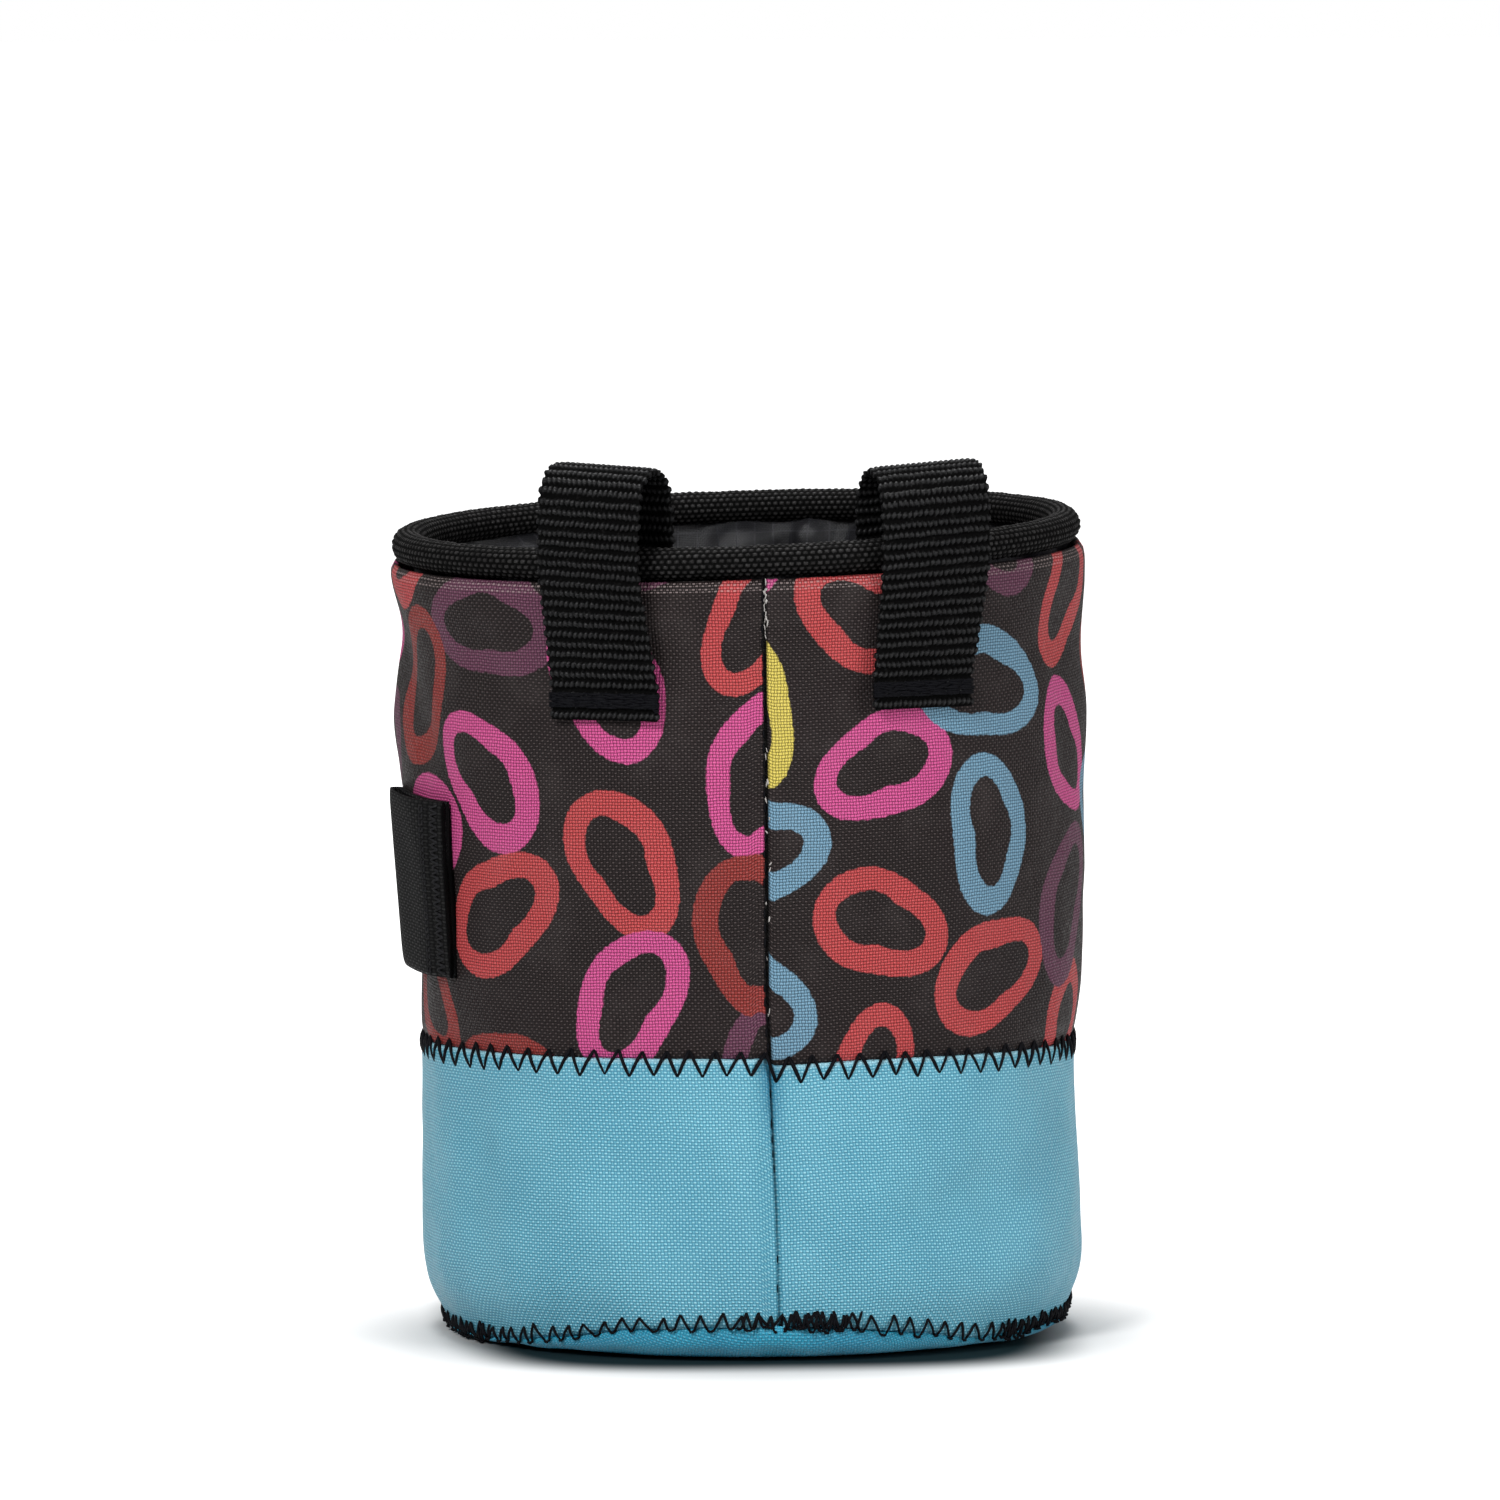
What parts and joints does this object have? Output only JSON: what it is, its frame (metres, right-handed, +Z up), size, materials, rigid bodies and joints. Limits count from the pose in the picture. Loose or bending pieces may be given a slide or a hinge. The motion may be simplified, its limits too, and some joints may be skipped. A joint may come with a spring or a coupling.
{
  "type": "climbing chalk bag",
  "caption": "Small round open-topped cloth bag with a stiff taped rim, belt loops over the rim and a flat elastic loop on its side, for carrying climbing chalk.",
  "frame": {"origin": "on the floor under the middle of the base", "axes": "+Z up out of the mouth, -Y towards the side with the upright seam and the belt loops, +X to the right as that side is faced"},
  "size_m": [0.0998, 0.0932, 0.1266],
  "materials": {
    "printed_cloth": "coarse coated canvas, dark brown with a printed pattern of open coloured rings",
    "turquoise_cloth": "coarse coated canvas with a slight sheen",
    "ripstop_lining": "thin smooth ripstop with a fine raised grid",
    "rim_tape": "coarse matt woven tape",
    "webbing": "ribbed matt webbing",
    "elastic": "finely ribbed matt elastic"
  },
  "bodies": {
    "root": {"printed_body": "printed_cloth", "plain_band": "turquoise_cloth", "base_panel": "turquoise_cloth", "lining": "ripstop_lining", "rim_binding": "rim_tape", "belt_loop_left": "webbing", "belt_loop_right": "webbing", "brush_loop": "elastic"}
  },
  "joints": []
}
